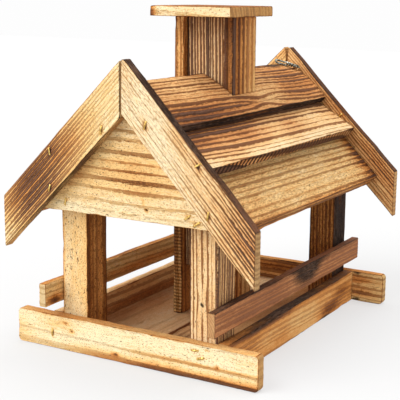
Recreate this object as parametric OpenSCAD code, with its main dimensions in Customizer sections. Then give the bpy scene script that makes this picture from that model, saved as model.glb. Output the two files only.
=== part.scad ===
// Bird feeder of flamed softwood: a gabled roof of lapped boards on four posts, over a skirted floor,
// with a feed chute that stands on the floor and comes out of the ridge as a capped chimney.
// Millimetres. X runs along the front, Y from front to rear, Z up. The origin is under the middle.

/* [Base] */
// Length of the front and rear skirt boards
skirt_len = 220; // [190:1:260]
// Depth over the faces of the front and rear skirt boards
base_depth = 261; // [220:1:320]
// Height of all four skirt boards
skirt_h = 28.5; // [22:0.5:36]
// Thickness of all four skirt boards
skirt_t = 9.2; // [7:0.1:13]
// Radius of the worn corners of the front and rear skirt boards
skirt_corner = 4; // [1:0.5:8]
// Thickness of the floor boards
floor_t = 9; // [6:0.5:12]
// Gap between the two floor boards
floor_gap = 1.5; // [0.5:0.5:4]

/* [Posts and rails] */
// Width over the outer faces of the posts
post_span = 142.4; // [130:0.2:160]
// Width of the posts, seen from the front
post_w = 24.6; // [18:0.2:32]
// Depth of the posts, from front to rear
post_d = 27; // [18:0.5:34]
// Height of the outer edge of a post top, where the roof starts
wall_h = 125.4; // [115:0.2:150]
// Height of the lower edge of the side rails
rail_z = 37.2; // [32:0.2:50]
// Height of the side rails themselves
rail_h = 19.7; // [14:0.1:26]
// Thickness of the side rails
rail_t = 7; // [5:0.5:12]
// Length of the side rails
rail_len = 276; // [250:1:310]
// How far the left rail sits forward of the right one
rail_slip = 5; // [0:0.5:5]

/* [Gables] */
// Height of the lower edge of the gable boards
gable_z = 115; // [100:0.5:122]
// Thickness of the gable boards
gable_t = 12.6; // [8:0.1:16]
// Width of the bargeboards, square to their slope
barge_w = 30.4; // [24:0.1:36]
// Thickness of the bargeboards
barge_t = 9.2; // [7:0.1:13]
// How far the bargeboards stand above the seat of the roof boards, square to the slope
barge_up = 27.3; // [23:0.1:30]
// Distance from the middle to the plumb-cut foot of a bargeboard
barge_half = 111.4; // [105:0.2:125]
// Slope of the front right bargeboard, which was cut a little steeper, in degrees
steep_pitch = 46.3; // [44:0.1:48]
// How far the peak of the front right bargeboard stands above the others
steep_lift = 3.6; // [0:0.1:5]
// Gap at the plumb joints of the ridge and the gable peaks
mitre_gap = 0.6; // [0.2:0.1:2]

/* [Roof boards] */
// Slope of the gables, the bargeboards and the eave boards, in degrees
roof_pitch = 45; // [42:0.5:48]
// How far the eave boards reach out past the posts
eave_over = 16; // [10:0.2:26]
// Thickness of the eave boards
eave_t = 12; // [9:0.5:14]
// Width of the eave boards
eave_w = 59.5; // [52:0.5:66]
// Thickness of the middle boards
middle_t = 9.5; // [7:0.5:12]
// How far the middle boards reach down over the upper edges of the eave boards
middle_lap = 15; // [8:0.5:20]
// Width of middle board that shows below the ridge board
middle_show = 40; // [34:0.5:46]
// Thickness of the ridge boards
ridge_t = 7.3; // [5:0.1:10]
// How much steeper the ridge boards lie than the middle boards, in degrees
ridge_lift = 6.5; // [2:0.5:10]
// How far the ridge boards are cupped, from their edges to their middles
cup_depth = 2.8; // [0.5:0.1:4]
// Distance from the middle within which the peaks of the gable boards are eased to the middle boards' slope
ease_half = 10.6; // [4:0.2:16]

/* [Feed chute and chimney] */
// Width over the side boards of the chimney
chimney_w = 55; // [46:0.5:64]
// Depth of the side boards of the chimney
chimney_d = 40.5; // [38:0.5:56]
// Thickness of the chimney boards
chimney_t = 9; // [6:0.5:10]
// How far the front and rear chimney boards are set back between the side boards
chimney_recess = 4.5; // [1:0.5:6]
// How far the chimney sits in front of the middle of the roof
chimney_fore = 3.4; // [0:0.2:8]
// Height of the chimney boards' upper ends
chimney_top = 262.6; // [245:0.2:285]
// Height of the feed outlet, under the front and rear chimney boards
outlet_h = 43; // [20:0.5:60]
// Width of the cap board
cap_w = 74; // [68:0.5:90]
// Depth of the cap board
cap_d = 74.5; // [66:0.5:90]
// Thickness of the cap board
cap_t = 8.5; // [6:0.5:12]
// How far the cap sits to the left of the chimney
cap_left = 0.5; // [0:0.5:4]
// How far the cap sits in front of the chimney
cap_fore = 5.4; // [0:0.2:6]

/* [Hanging wires] */
// Diameter of the galvanised wire
wire_d = 1.8; // [1.2:0.1:2.4]
// Length of each wire loop between the middles of its bends
wire_loop = 22; // [18:1:30]
// Distance between the two strands of a wire loop
wire_gap = 4; // [3:0.5:6]
// How far each wire loop turns from the line of the slope towards the middle, in degrees
wire_turn = 48; // [30:1:70]
// Distance from the ridge to the middle of each wire loop
wire_x = 6.5; // [5:0.5:14]

/* [Hidden] */

// Clearances: pieces that rest on each other at a slope, the roof around the chimney, and the wires.
seat_gap = 0.1;
chimney_gap = 0.6;
wire_clear = 0.3;

// Places that follow from the sizes above.
base_half = base_depth / 2;
inner_half = base_half - skirt_t;
post_out = post_span / 2;
post_in = post_out - post_w;
gable_front = inner_half + gable_t;
barge_front = gable_front + barge_t;
joint_x = mitre_gap / 2;
wood_light = [0.93, 0.78, 0.52];
wood_warm = [0.80, 0.56, 0.31];
wood_dark = [0.52, 0.33, 0.19];
zinc = [0.62, 0.63, 0.62];

// The seat is the sloping line on which the eave boards lie: its height at a distance x from the middle.
function seat_z(x) = wall_h + (post_out - x) * tan(roof_pitch);

// Unit steps up a slope towards the ridge, and out of its face.
function up_slope(pitch) = [-cos(pitch), sin(pitch)];
function off_slope(pitch) = [sin(pitch), cos(pitch)];

// Lower corner of the eave board's underside, and its upper edge, on which the middle board bears.
eave_x = post_out + eave_over;
eave_foot = [eave_x, seat_z(eave_x)] + seat_gap * off_slope(roof_pitch);
eave_edge = eave_foot + eave_t * off_slope(roof_pitch) + eave_w * up_slope(roof_pitch);

// The middle boards slope from that edge to the eased peak of the gables.
lap_pitch = atan2(seat_z(ease_half) - eave_edge[1], eave_edge[0] - ease_half);
middle_foot = eave_edge + seat_gap * off_slope(lap_pitch) - middle_lap * up_slope(lap_pitch);

// The ridge boards stand on the middle ones along their lower edges and lean together at the ridge.
ridge_pitch = lap_pitch + ridge_lift;
ridge_foot = middle_foot + (middle_t + seat_gap) * off_slope(lap_pitch) + middle_show * up_slope(lap_pitch);
ridge_run = ridge_foot[0] / cos(ridge_pitch);
ridge_steps = 12;

// Height at a distance x from the middle of a line through a point, at a pitch.
function line_z(foot, pitch, x) = foot[1] + (foot[0] - x) * tan(pitch);

// Point of a cupped ridge board's section, at a share t of its run, raised by its height off the underside.
function ridge_point(t, up) =
    ridge_foot
    + t * ridge_run * up_slope(ridge_pitch)
    + (up + 4 * cup_depth * t * (1 - t)) * off_slope(ridge_pitch);

// Extrudes an outline in X and Z from y0 to y1.
module along_y(y0, y1) {
    translate([0, y1, 0])
        rotate([90, 0, 0])
            linear_extrude(y1 - y0)
                children();
}

// Makes a right-hand or a left-hand piece from the right-hand one: side is 1 or -1.
module on_side(side) {
    if (side > 0)
        children();
    else
        mirror([1, 0, 0])
            children();
}

// Makes a rear or a front piece from the rear one: way is 1 or -1.
module on_end(way) {
    if (way > 0)
        children();
    else
        mirror([0, 1, 0])
            children();
}

// Outline of a board with rounded corners, centred on X and standing on the axis.
module round_outline(w, h, r) {
    translate([-w / 2 + r, 0])
        square([w - 2 * r, h]);
    translate([-w / 2, r])
        square([w, h - 2 * r]);
    for (x = [-w / 2 + r, w / 2 - r], z = [r, h - r])
        translate([x, z])
            circle(r = r, $fn = 32);
}

module end_skirt(way) {
    color(wood_light)
        on_end(way)
            along_y(inner_half, base_half)
                round_outline(skirt_len, skirt_h, skirt_corner);
}

module side_skirt(side) {
    color(wood_warm)
        on_side(side)
            translate([post_out, -inner_half, 0])
                cube([skirt_t, 2 * inner_half, skirt_h]);
}

module floor_board(side) {
    color(wood_dark)
        on_side(side)
            translate([floor_gap / 2, -inner_half, 0])
                cube([post_out - floor_gap / 2, 2 * inner_half, floor_t]);
}

// A post stands on the floor against both skirts, and its top is cut to the slope of the roof.
module post(side, way) {
    color(way < 0 ? wood_light : wood_warm)
        on_side(side)
            on_end(way)
                along_y(inner_half - post_d, inner_half)
                    polygon([
                        [post_in, floor_t],
                        [post_out, floor_t],
                        [post_out, seat_z(post_out)],
                        [post_in, seat_z(post_in)]
                    ]);
}

module rail(side) {
    slip = side < 0 ? rail_slip : 0;
    color(wood_warm)
        on_side(side)
            translate([post_out, -rail_len / 2 - slip, rail_z])
                cube([rail_t, rail_len, rail_h]);
}

module gable_board(way) {
    foot_x = post_out + (wall_h - gable_z) / tan(roof_pitch);
    color(wood_light)
        on_end(way)
            along_y(inner_half, gable_front)
                polygon([
                    [-foot_x, gable_z],
                    [foot_x, gable_z],
                    [ease_half, seat_z(ease_half)],
                    [0, line_z(middle_foot, lap_pitch, 0) - 2 * seat_gap],
                    [-ease_half, seat_z(ease_half)]
                ]);
}

module bargeboard(side, way) {
    steep = side > 0 && way < 0;
    pitch = steep ? steep_pitch : roof_pitch;
    drop = barge_w / cos(pitch);
    peak = [0, seat_z(0) + barge_up / cos(roof_pitch) + (steep ? steep_lift : 0)];
    color(wood_light)
        on_side(side)
            on_end(way)
                along_y(gable_front, barge_front)
                    polygon([
                        [joint_x, line_z(peak, pitch, joint_x) - drop],
                        [barge_half, line_z(peak, pitch, barge_half) - drop],
                        [barge_half, line_z(peak, pitch, barge_half)],
                        [joint_x, line_z(peak, pitch, joint_x)]
                    ]);
}

// The space that the chimney takes in the roof.
module chimney_hole() {
    translate([
        -chimney_w / 2 - chimney_gap,
        -chimney_fore - chimney_d / 2 - chimney_gap,
        0
    ])
        cube([chimney_w + 2 * chimney_gap, chimney_d + 2 * chimney_gap, chimney_top]);
}

module eave_board(side) {
    face = eave_t * off_slope(roof_pitch);
    back = eave_w * up_slope(roof_pitch);
    color(wood_warm)
        on_side(side)
            along_y(-gable_front, gable_front)
                polygon([eave_foot, eave_foot + face, eave_foot + face + back, eave_foot + back]);
}

module middle_board(side) {
    brow = middle_foot + middle_t * off_slope(lap_pitch);
    color(wood_warm)
        on_side(side)
            difference() {
                along_y(-gable_front, gable_front)
                    polygon([
                        middle_foot,
                        brow,
                        [joint_x, line_z(brow, lap_pitch, joint_x)],
                        [joint_x, line_z(middle_foot, lap_pitch, joint_x)]
                    ]);
                chimney_hole();
            }
}

// A cupped board, whose section runs on past the ridge and is cut plumb there.
module ridge_board(side) {
    shares = [for (i = [0 : ridge_steps + 2]) i / ridge_steps];
    last = len(shares) - 1;
    color(wood_warm)
        on_side(side)
            difference() {
                along_y(-gable_front, gable_front)
                    intersection() {
                        polygon(concat(
                            [for (t = shares) ridge_point(t, 0)],
                            [for (i = [last : -1 : 0]) ridge_point(shares[i], ridge_t)]
                        ));
                        translate([joint_x, 0])
                            square([eave_x, chimney_top]);
                    }
                chimney_hole();
            }
}

// The side boards of the chimney stand on the floor and carry the cap.
module chimney_side(side) {
    color(wood_warm)
        translate([0, -chimney_fore, 0])
            on_side(side)
                translate([chimney_w / 2 - chimney_t, -chimney_d / 2, floor_t])
                    cube([chimney_t, chimney_d, chimney_top - floor_t]);
}

// The front and rear boards of the chimney stop above the floor, so that feed runs out.
module chimney_end(way) {
    inside_w = chimney_w - 2 * chimney_t;
    outlet_z = floor_t + outlet_h;
    color(wood_dark)
        translate([0, -chimney_fore, 0])
            on_end(way)
                translate([-inside_w / 2, chimney_d / 2 - chimney_recess - chimney_t, outlet_z])
                    cube([inside_w, chimney_t, chimney_top - outlet_z]);
}

module chimney_cap() {
    color(wood_light)
        translate([-cap_left - cap_w / 2, -chimney_fore - cap_fore - cap_d / 2, chimney_top])
            cube([cap_w, cap_d, cap_t]);
}

// One bend of a wire loop: half a ring round the origin, on the side of positive X.
module wire_bend() {
    rotate([0, 0, -90])
        rotate_extrude(angle = 180, $fn = 48)
            translate([wire_gap / 2, 0])
                circle(d = wire_d, $fn = 24);
}

// A closed loop of wire in the XY plane, drawn out along X.
module wire_ring() {
    for (y = [-wire_gap / 2, wire_gap / 2])
        translate([-wire_loop / 2, y, 0])
            rotate([0, 90, 0])
                cylinder(h = wire_loop, d = wire_d, $fn = 24);
    translate([wire_loop / 2, 0, 0])
        wire_bend();
    translate([-wire_loop / 2, 0, 0])
        rotate([0, 0, 180])
            wire_bend();
}

// A loop lies slantwise on the right-hand ridge board, in the corner beside each gable.
module hanging_wire(way) {
    lift = ridge_t + wire_clear + wire_d / 2;
    share = 1 - (wire_x - lift * sin(ridge_pitch)) / ridge_foot[0];
    pitch = ridge_pitch + atan(4 * cup_depth * (1 - 2 * share) / ridge_run);
    middle = ridge_point(share, lift);
    reach_y = (wire_loop * sin(wire_turn) + wire_gap + wire_d) / 2;
    color(zinc)
        on_end(way)
            translate([middle[0], gable_front - wire_clear - reach_y, middle[1]])
                rotate([0, pitch, 0])
                    rotate([0, 0, 180 + wire_turn])
                        wire_ring();
}

end_skirt(-1);  // front_skirt_board
end_skirt(1);  // rear_skirt_board
side_skirt(-1);  // left_skirt_board
side_skirt(1);  // right_skirt_board
floor_board(-1);  // left_floor_board
floor_board(1);  // right_floor_board
post(-1, -1);  // front_left_post
post(1, -1);  // front_right_post
post(-1, 1);  // rear_left_post
post(1, 1);  // rear_right_post
rail(-1);  // left_rail
rail(1);  // right_rail
gable_board(-1);  // front_gable_board
gable_board(1);  // rear_gable_board
bargeboard(-1, -1);  // front_left_bargeboard
bargeboard(1, -1);  // front_right_bargeboard
bargeboard(-1, 1);  // rear_left_bargeboard
bargeboard(1, 1);  // rear_right_bargeboard
eave_board(-1);  // left_eave_board
eave_board(1);  // right_eave_board
middle_board(-1);  // left_middle_board
middle_board(1);  // right_middle_board
ridge_board(-1);  // left_ridge_board
ridge_board(1);  // right_ridge_board
chimney_side(-1);  // chimney_left_board
chimney_side(1);  // chimney_right_board
chimney_end(-1);  // chimney_front_board
chimney_end(1);  // chimney_rear_board
chimney_cap();
hanging_wire(-1);  // front_hanging_wire
hanging_wire(1);  // rear_hanging_wire
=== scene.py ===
"""A bird feeder of flamed softwood: weathered boards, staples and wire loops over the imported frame."""

import math

import bmesh
import bpy
import numpy as np
from mathutils import Matrix, Vector


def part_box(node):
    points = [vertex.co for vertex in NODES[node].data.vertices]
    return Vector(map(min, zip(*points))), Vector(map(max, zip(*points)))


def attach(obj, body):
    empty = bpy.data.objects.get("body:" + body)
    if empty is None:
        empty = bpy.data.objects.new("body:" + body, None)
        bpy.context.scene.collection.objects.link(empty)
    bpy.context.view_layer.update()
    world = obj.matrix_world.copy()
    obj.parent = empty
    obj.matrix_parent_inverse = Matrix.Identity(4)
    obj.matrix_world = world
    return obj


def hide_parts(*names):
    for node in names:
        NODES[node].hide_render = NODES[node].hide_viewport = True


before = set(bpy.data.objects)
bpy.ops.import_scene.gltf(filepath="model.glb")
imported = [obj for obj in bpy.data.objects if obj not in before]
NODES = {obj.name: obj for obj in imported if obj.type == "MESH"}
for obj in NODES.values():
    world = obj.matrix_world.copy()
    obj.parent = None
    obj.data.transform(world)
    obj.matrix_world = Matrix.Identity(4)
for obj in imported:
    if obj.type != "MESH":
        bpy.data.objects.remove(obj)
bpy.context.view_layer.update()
MM = 0.001


# ---------------------------------------------------------------------------
# Small tools
# ---------------------------------------------------------------------------


def smooth(x, a, b):
    """Smooth step from 0 at a to 1 at b."""
    t = np.clip((x - a) / (b - a), 0.0, 1.0)
    return t * t * (3.0 - 2.0 * t)


class Drift:
    """Repeatable smooth noise of one, two or three values, between -1 and 1."""

    def __init__(self, seed):
        self.table = np.random.default_rng(seed).uniform(-1.0, 1.0, 4096)

    def _at(self, *cells):
        key = np.zeros_like(cells[0])
        for cell, prime in zip(cells, (1, 57, 811)):
            key = key + cell * prime
        return self.table[key % 4096]

    def __call__(self, *values):
        values = np.broadcast_arrays(*[np.asarray(v, float) for v in values])
        low = [np.floor(v).astype(int) for v in values]
        part = [v - c for v, c in zip(values, low)]
        part = [p * p * (3.0 - 2.0 * p) for p in part]
        total = 0.0
        for corner in range(2 ** len(values)):
            weight = 1.0
            cells = []
            for axis, (cell, p) in enumerate(zip(low, part)):
                step = corner >> axis & 1
                cells.append(cell + step)
                weight = weight * (p if step else 1.0 - p)
            total = total + weight * self._at(*cells)
        return total


def corners_of(node, digits):
    """The corners of a node in millimetres, rounded to so many digits."""
    return np.round(np.array([v.co for v in NODES[node].data.vertices]) / MM, digits)


def outline(node):
    """The corners of a board that is extruded along Y, as (x, z) in millimetres."""
    return np.unique(corners_of(node, 2)[:, [0, 2]], axis=0)


def put(name, data):
    """A new object in the scene."""
    made = bpy.data.objects.new(name, data)
    bpy.context.scene.collection.objects.link(made)
    return made


# ---------------------------------------------------------------------------
# Materials
# ---------------------------------------------------------------------------


class Sock:
    """A socket that takes part in arithmetic."""

    def __init__(self, owner, socket):
        self.owner = owner
        self.socket = socket

    def _math(self, kind, *others):
        return self.owner.node("ShaderNodeMath", {"operation": kind}, [self, *others])

    def __add__(self, other):
        return self._math("ADD", other)

    def __sub__(self, other):
        return self._math("SUBTRACT", other)

    def __mul__(self, other):
        return self._math("MULTIPLY", other)

    def __rsub__(self, other):
        return self.owner.node("ShaderNodeMath", {"operation": "SUBTRACT"}, [other, self])

    __radd__ = __add__
    __rmul__ = __mul__

    def floor(self):
        return self._math("FLOOR")

    def fract(self):
        return self._math("FRACT")

    def sine(self):
        return self._math("SINE")

    def rise(self, low, high):
        """Smooth step from 0 at low to 1 at high."""
        return self.owner.node(
            "ShaderNodeMapRange",
            {"interpolation_type": "SMOOTHSTEP"},
            {"Value": self, "From Min": low, "From Max": high, "To Min": 0.0, "To Max": 1.0},
        )


class NodeTree:
    """A tree of shader or geometry nodes."""

    def __init__(self, tree):
        self.tree = tree

    def node(self, kind, settings, inputs, output=0):
        """Adds one node: its settings come first, then the values or links of its sockets."""
        made = self.tree.nodes.new(kind)
        for key, value in settings.items():
            if key == "stops":
                ramp = made.color_ramp
                while len(ramp.elements) < len(value):
                    ramp.elements.new(0.5)
                for element, (place, colour) in zip(ramp.elements, value):
                    element.position = place
                    element.color = (*colour, 1.0)
            else:
                setattr(made, key, value)
        pairs = enumerate(inputs) if isinstance(inputs, list) else inputs.items()
        for key, value in pairs:
            if isinstance(value, Sock):
                self.tree.links.new(value.socket, made.inputs[key])
            else:
                made.inputs[key].default_value = value
        return Sock(self, made.outputs[output]) if len(made.outputs) else None


class Sheet(NodeTree):
    """The nodes of one material."""

    def __init__(self, name):
        self.material = bpy.data.materials.new(name)
        self.material.use_nodes = True
        super().__init__(self.material.node_tree)
        self.tree.nodes.clear()

    def attribute(self, name, output="Fac"):
        return self.node("ShaderNodeAttribute", {"attribute_name": name}, {}, output)

    def stretched(self, vector, factors):
        return self.node("ShaderNodeVectorMath", {"operation": "MULTIPLY"}, [vector, factors])

    def noise(self, vector, detail, rough=0.5):
        inputs = {"Vector": vector, "Scale": 1.0, "Detail": detail, "Roughness": rough}
        return self.node("ShaderNodeTexNoise", {}, inputs)

    def blend(self, factor, a, b):
        """Colour a where the factor is 0, and b where it is 1."""
        return self.node("ShaderNodeMix", {"data_type": "RGBA"}, {0: factor, 6: a, 7: b}, 2)

    def ramp(self, factor, stops):
        return self.node("ShaderNodeValToRGB", {"stops": stops}, {"Fac": factor})

    def finish(self, inputs):
        surface = self.node("ShaderNodeBsdfPrincipled", {}, inputs)
        self.node("ShaderNodeOutputMaterial", {}, {"Surface": surface})
        return self.material


PORE = (0.085, 0.028, 0.008, 1.0)
SAW_CUT = (0.030, 0.013, 0.007, 1.0)
END_GRAIN = (0.42, 0.25, 0.10, 1.0)
LIGHT_BROWN, DARK_BROWN = (0.40, 0.145, 0.042, 1.0), (0.07, 0.026, 0.012, 1.0)
SOOT_AND_SHADE, ASH_AND_SHADE = (0.010, 0.007, 0.005, 1.0), (0.118, 0.066, 0.042, 1.0)


def flamed_wood(name):
    """Flamed and brushed softwood. Its rings, burns, chars and painted shade come from the boards
    themselves.
    """
    m = Sheet(name)
    place = m.attribute("place", "Vector")
    burn, tan, char, saw, cut, end, fleck, bold, brush, rose = (
        m.attribute(key)
        for key in ("burn", "tan", "char", "saw", "cut", "end", "fleck", "bold", "brush", "rose")
    )

    def grain(along, across, detail, rough=0.5):
        """Noise with so many waves to the metre along and across the grain."""
        return m.noise(m.stretched(place, (along, across, across)), detail, rough)

    wander = grain(24.0, 260.0, 3.0)
    dash = grain(170.0, 900.0, 4.0, 0.65)
    bead = grain(850.0, 420.0, 2.0, 0.6)
    fibre = grain(60.0, 2600.0, 3.0, 0.6)
    cloud = grain(26.0, 70.0, 3.0, 0.6)
    specks = grain(800.0, 1200.0, 2.0, 0.6)
    pits = grain(300.0, 1000.0, 2.0, 0.5)
    hairs = grain(330.0, 1700.0, 3.0, 0.6)
    grit = grain(1100.0, 1100.0, 4.0, 0.7)

    # The rings: how far through its ring a place lies, and how dark that ring's late wood is.
    ring = m.attribute("ring") + (wander - 0.5) * 0.16
    phase = ring.fract()
    strength = m.node("ShaderNodeTexWhiteNoise", {"noise_dimensions": "1D"}, {"W": ring.floor()})
    drift = (cloud - 0.5) * 0.40
    band_heat = burn + drift + (strength - 0.5) * 0.50
    start = 0.72 - band_heat * 0.56
    ragged = phase + (dash - 0.5) * 0.42 + (bead - 0.5) * 0.24
    band = ragged.rise(start, start + 0.14) * (1.0 - (phase + (bead - 0.5) * 0.10).rise(0.93, 0.99))
    broad = band_heat.rise(0.46, 0.72) * ragged.rise(start + 0.14, start + 0.34)
    broad = broad * (1.0 - phase.rise(0.78, 0.90))
    late = (dash + band * 0.42 + band_heat * 0.62 - brush * 0.10).rise(0.88, 1.02) * band.rise(0.0, 0.5)
    late = late * (1.0 - specks.rise(0.46, 0.58) * fleck.rise(0.25, 1.1))

    # The two woods, from pale to burnt.
    warmth = tan + drift * 0.8 + (dash - 0.5) * 0.34 + (fibre - 0.5) * 0.30 + (bead - 0.5) * 0.16
    warmth = warmth + band * bold * 0.20
    early_wood = m.ramp(warmth, [
        (0.0, (0.89, 0.745, 0.465)), (0.22, (0.87, 0.565, 0.23)), (0.48, (0.70, 0.29, 0.076)),
        (0.72, (0.31, 0.098, 0.020)), (1.0, (0.056, 0.017, 0.006)),
    ])
    rosy_wood = m.ramp(
        warmth, [(0.0, (0.91, 0.75, 0.51)), (0.24, (0.76, 0.43, 0.24)), (0.6, (0.43, 0.175, 0.084))]
    )
    late_wood = m.ramp(band_heat + (fibre - 0.5) * 0.3, [
        (0.0, (0.56, 0.27, 0.085)), (0.22, (0.24, 0.080, 0.022)), (0.48, (0.092, 0.030, 0.011)),
        (0.72, (0.050, 0.021, 0.012)), (1.0, (0.014, 0.009, 0.007)),
    ])
    broad_wood = m.ramp(fibre, [(0.3, (0.078, 0.040, 0.028)), (0.7, (0.225, 0.120, 0.080))])
    early_wood = m.blend(rose, early_wood, rosy_wood)
    late_wood = m.blend(broad * 0.85, late_wood, broad_wood)
    colour = m.blend(late * bold * (0.72 + strength * 0.28), early_wood, late_wood)

    # What lies over them: brush strokes, flecks, pores, saw marks, cut ends, char, and painted shade in
    # dents and under the wire and bargeboards.
    brown = m.blend(burn.rise(0.2, 0.7), LIGHT_BROWN, DARK_BROWN)
    strokes = (hairs + brush * 0.05).rise(0.55, 0.64) * brush.rise(0.0, 1.0)
    colour = m.blend(strokes * 0.75, colour, brown)
    flecks = (specks + fleck * 0.07).rise(0.62, 0.70) * fleck.rise(0.0, 0.3)
    colour = m.blend(flecks * 0.75, colour, brown)
    pores = (pits + fleck * 0.07).rise(0.72, 0.75) * fleck.rise(0.0, 0.3)
    colour = m.blend(pores * 0.85, colour, PORE)
    teeth = saw * (cut + (wander - 0.5) * 4.0).sine().rise(-0.25, 0.35)
    colour = m.blend(teeth * 0.94, colour, SAW_CUT)
    colour = m.blend(end * 0.45, colour, END_GRAIN)
    # The char colour also paints the shade in dents, the shadow under the rear wire and the bargeboard's
    # shadow on the gable.
    smoke = (cloud - 0.5) * 0.55 + (fibre - 0.5) * 0.45 + (bead - 0.5) * 0.3
    soot_and_shade = (char + smoke * char.rise(0.02, 0.3)).rise(0.30, 0.80)
    ash_and_shade = m.blend((dash * 0.6 + cloud * 0.4).rise(0.46, 0.62), SOOT_AND_SHADE, ASH_AND_SHADE)
    colour = m.blend(soot_and_shade * 0.93, colour, ash_and_shade)

    height = late * 0.5 + fibre * 0.45 + grit * 0.2 + (bead - 0.5) * 0.3
    height = height - pores * 0.5 - strokes * 0.4 - teeth * 1.2
    bump = m.node("ShaderNodeBump", {}, {"Strength": 0.9, "Distance": 0.0010, "Height": height})
    return m.finish(
        {
            "Base Color": colour,
            "Roughness": 0.78 - late * 0.16 + (grit - 0.5) * 0.2,
            "Normal": bump,
            "Specular IOR Level": 0.07,
        }
    )


def bare_metal(name, light, dark, roughness):
    """Weathered wire: light metal with dark grime in fine patches."""
    m = Sheet(name)
    where = m.node("ShaderNodeTexCoord", {}, {}, "Object")
    grime = m.noise(m.stretched(where, (700.0, 700.0, 700.0)), 4.0, 0.6)
    return m.finish(
        {
            "Base Color": m.blend(grime.rise(0.38, 0.58), (*light, 1.0), (*dark, 1.0)),
            "Metallic": 1.0,
            "Roughness": roughness + (grime - 0.5) * 0.3,
        }
    )


WOOD = flamed_wood("flamed softwood")
BRASS = bare_metal("coated staple", (0.98, 0.69, 0.22), (0.46, 0.27, 0.07), 0.38)
ZINC = bare_metal("galvanised wire", (0.58, 0.57, 0.49), (0.06, 0.06, 0.045), 0.34)


# ---------------------------------------------------------------------------
# Boards
# ---------------------------------------------------------------------------

EDGE_LINES = (0.0, 0.4, 1.0, 1.8)  # grid lines this far inside every edge, so that it can be rounded
SPOT_LINES = (-2.0, -1.5, -1.0, -0.6, -0.2, 0.2, 0.6, 1.0, 1.5, 2.0)  # round a knot or dent, in its reach
LINE_GAP = 0.3  # grid lines closer than this are made one
GRID_STEPS = (3.2, 0.8, 1.4)  # between grid lines along, across and through the board
SIDES = ("s-", "s+", "w-", "w+", "t-", "t+")
LEFT_RIGHT = ((-1, "left"), (1, "right"))
FRONT_REAR = ((-1, "front"), (1, "rear"))
USUAL_BURN = 0.45
LEAST_ROUND = 0.25  # smallest radius of a worn edge
MOST_ROUND = 0.28  # largest one, as a share of the board's thickness
SAW_FADE = 1.35  # saw marks fade out between saw_end and this many times saw_end

USUAL_LOOK = {
    "worn": 0.9,  # radius of the worn edges
    "sway": 0.3,  # how far the w+ edge wanders inwards
    "relief": 0.3,  # how deep the soft wood is brushed out between the hard rings
    "pith": (0.5, -2.5),  # the middle of the tree, in widths and thicknesses of the board
    "spacing": 4.5,  # from one growth ring to the next
    "tilt": 0.02,  # how fast the grain runs off the board's own line
    "wave": 1.2,  # how far the grain wanders
    "burn": {},  # how brown each side is
    "drift": 0.10,  # how uneven the burn is
    "early": 1.0,  # the share of the burn that the soft wood takes
    "edge": 0.68,  # how much darker the worn edges are
    "rose": 0.0,  # how rosy the soft wood is
    "bold": 1.0,  # how strongly the hard rings stand out
    "fleck": 0.4,  # how many specks and pores it has
    "brush": 0.3,  # how many fine dark strokes it has
    "patches": (),  # soft spots that change the burn
    "chars": (),  # soft spots of char, some of them painted shadow
    "bolder": (),  # soft spots that change bold
    "knots": (),
    "marks": (),
    "face": "t+",  # the side that the marks lie on
    "saw": {},  # how strong the saw marks are on each side
    "pitch": 4.6,  # from one saw mark to the next
    "saw_end": None,  # how far along the board they reach, if not all the way
}


def lines(length, step, fine=()):
    """Places along a length: close together at both ends and at fine, otherwise about step apart."""
    edge = [e for e in EDGE_LINES if e < length * 0.3]
    inner = length - 2 * edge[-1]
    count = max(1, round(inner / step))
    found = [edge[-1] + inner * i / count for i in range(1, count)]
    wanted = sorted(f for f in fine if edge[-1] < f < length - edge[-1])
    kept = []
    for value in wanted:
        if not kept or value - kept[-1] > LINE_GAP:
            kept.append(value)
    found = [f for f in found if all(abs(f - k) > LINE_GAP for k in kept)]
    return np.array(sorted(edge + found + kept + [length - e for e in edge]))


def facing(normal, key):
    """How far the surface faces one of the board's own six sides."""
    sign = 1 if key[1] == "+" else -1
    return np.clip(normal[:, "swt".index(key[0])] * sign, 0, 1) ** 2


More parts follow.
